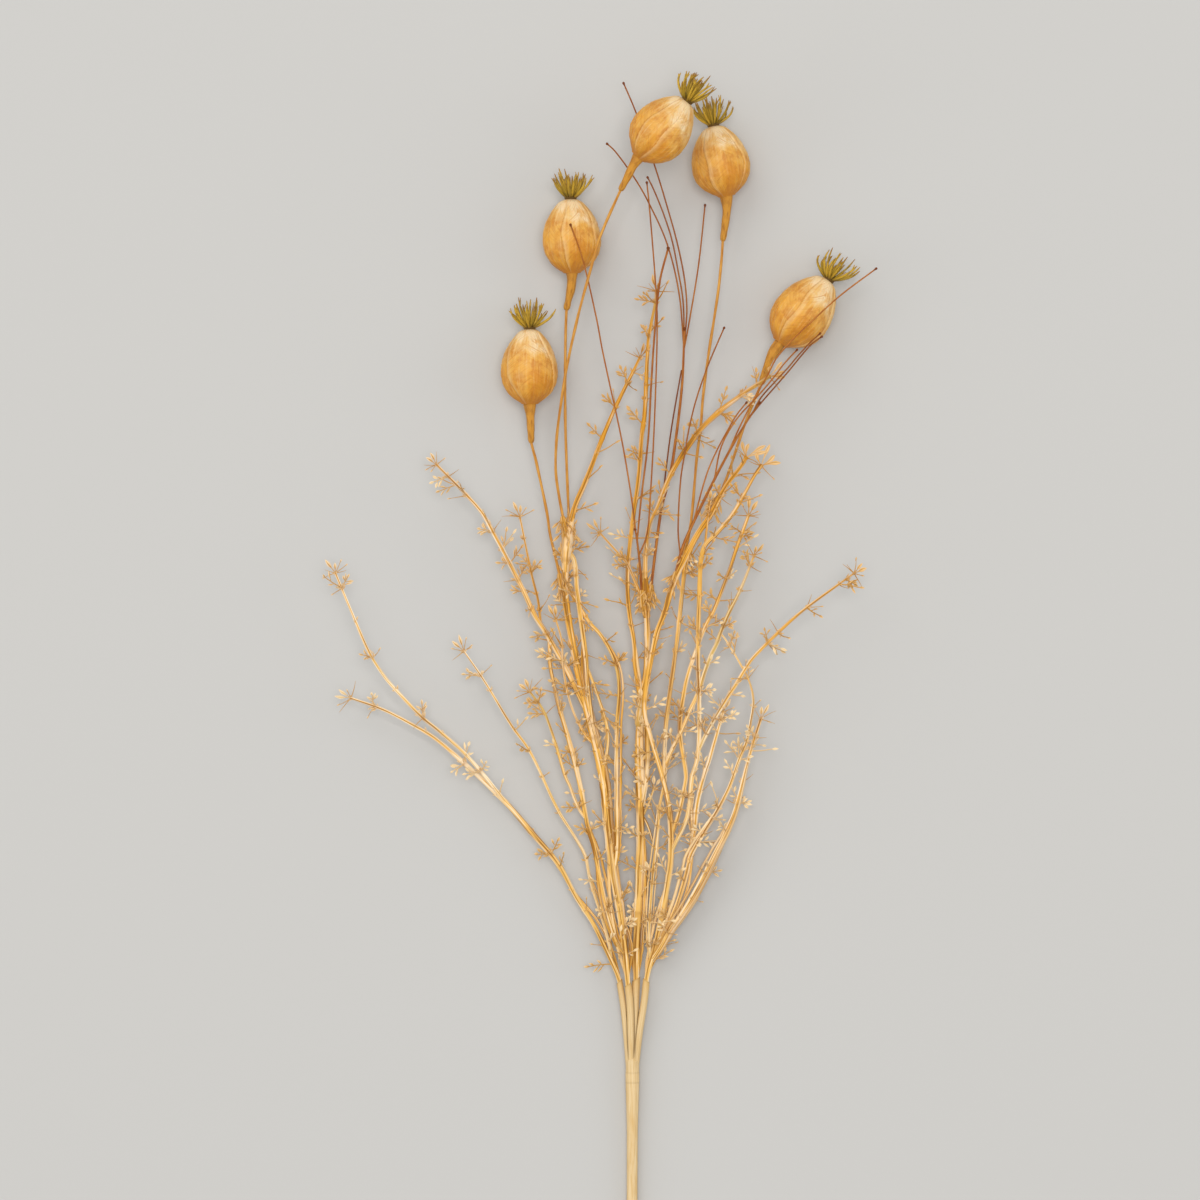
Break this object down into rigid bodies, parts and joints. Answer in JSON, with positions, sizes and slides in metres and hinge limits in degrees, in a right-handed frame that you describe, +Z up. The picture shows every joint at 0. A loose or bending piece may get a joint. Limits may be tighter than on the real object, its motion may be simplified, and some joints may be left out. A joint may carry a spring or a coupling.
{
  "type": "poppy seed head",
  "caption": "Dried poppy seed head spray: papery pods with bristle crowns on wire stems, among golden leafy twigs and hair-thin wires, bound into a taped main stem.",
  "frame": {"origin": "centre of the bounding box's bottom, on the surface that the spray lies on", "axes": "+Y along the spray from the main stem's cut end to the heads, +Z up from the surface, +X to the right seen from above"},
  "size_m": [0.36, 0.779, 0.0719],
  "materials": {
    "straw_tape": "matt wrapped tape",
    "golden_twig": "matt, paler on the upper edges",
    "papery_pod": "satin, veined",
    "olive_bristle": "matt",
    "brown_wire": "matt",
    "red_wire": "matt"
  },
  "bodies": {
    "root": {"main_stem": "straw_tape", "twig_left": "golden_twig", "twig_mid_left": "golden_twig", "twig_centre": "golden_twig", "twig_right": "golden_twig", "poppy_stem_1": "brown_wire", "poppy_stem_2": "brown_wire", "poppy_stem_3": "brown_wire", "poppy_stem_4": "brown_wire", "poppy_stem_5": "brown_wire", "pod_1": "papery_pod", "pod_2": "papery_pod", "pod_3": "papery_pod", "pod_4": "papery_pod", "pod_5": "papery_pod", "crown_1": "olive_bristle", "crown_2": "olive_bristle", "crown_3": "olive_bristle", "crown_4": "olive_bristle", "crown_5": "olive_bristle", "wisp_left": "red_wire", "wisp_centre": "red_wire", "wisp_right": "red_wire"}
  },
  "joints": []
}
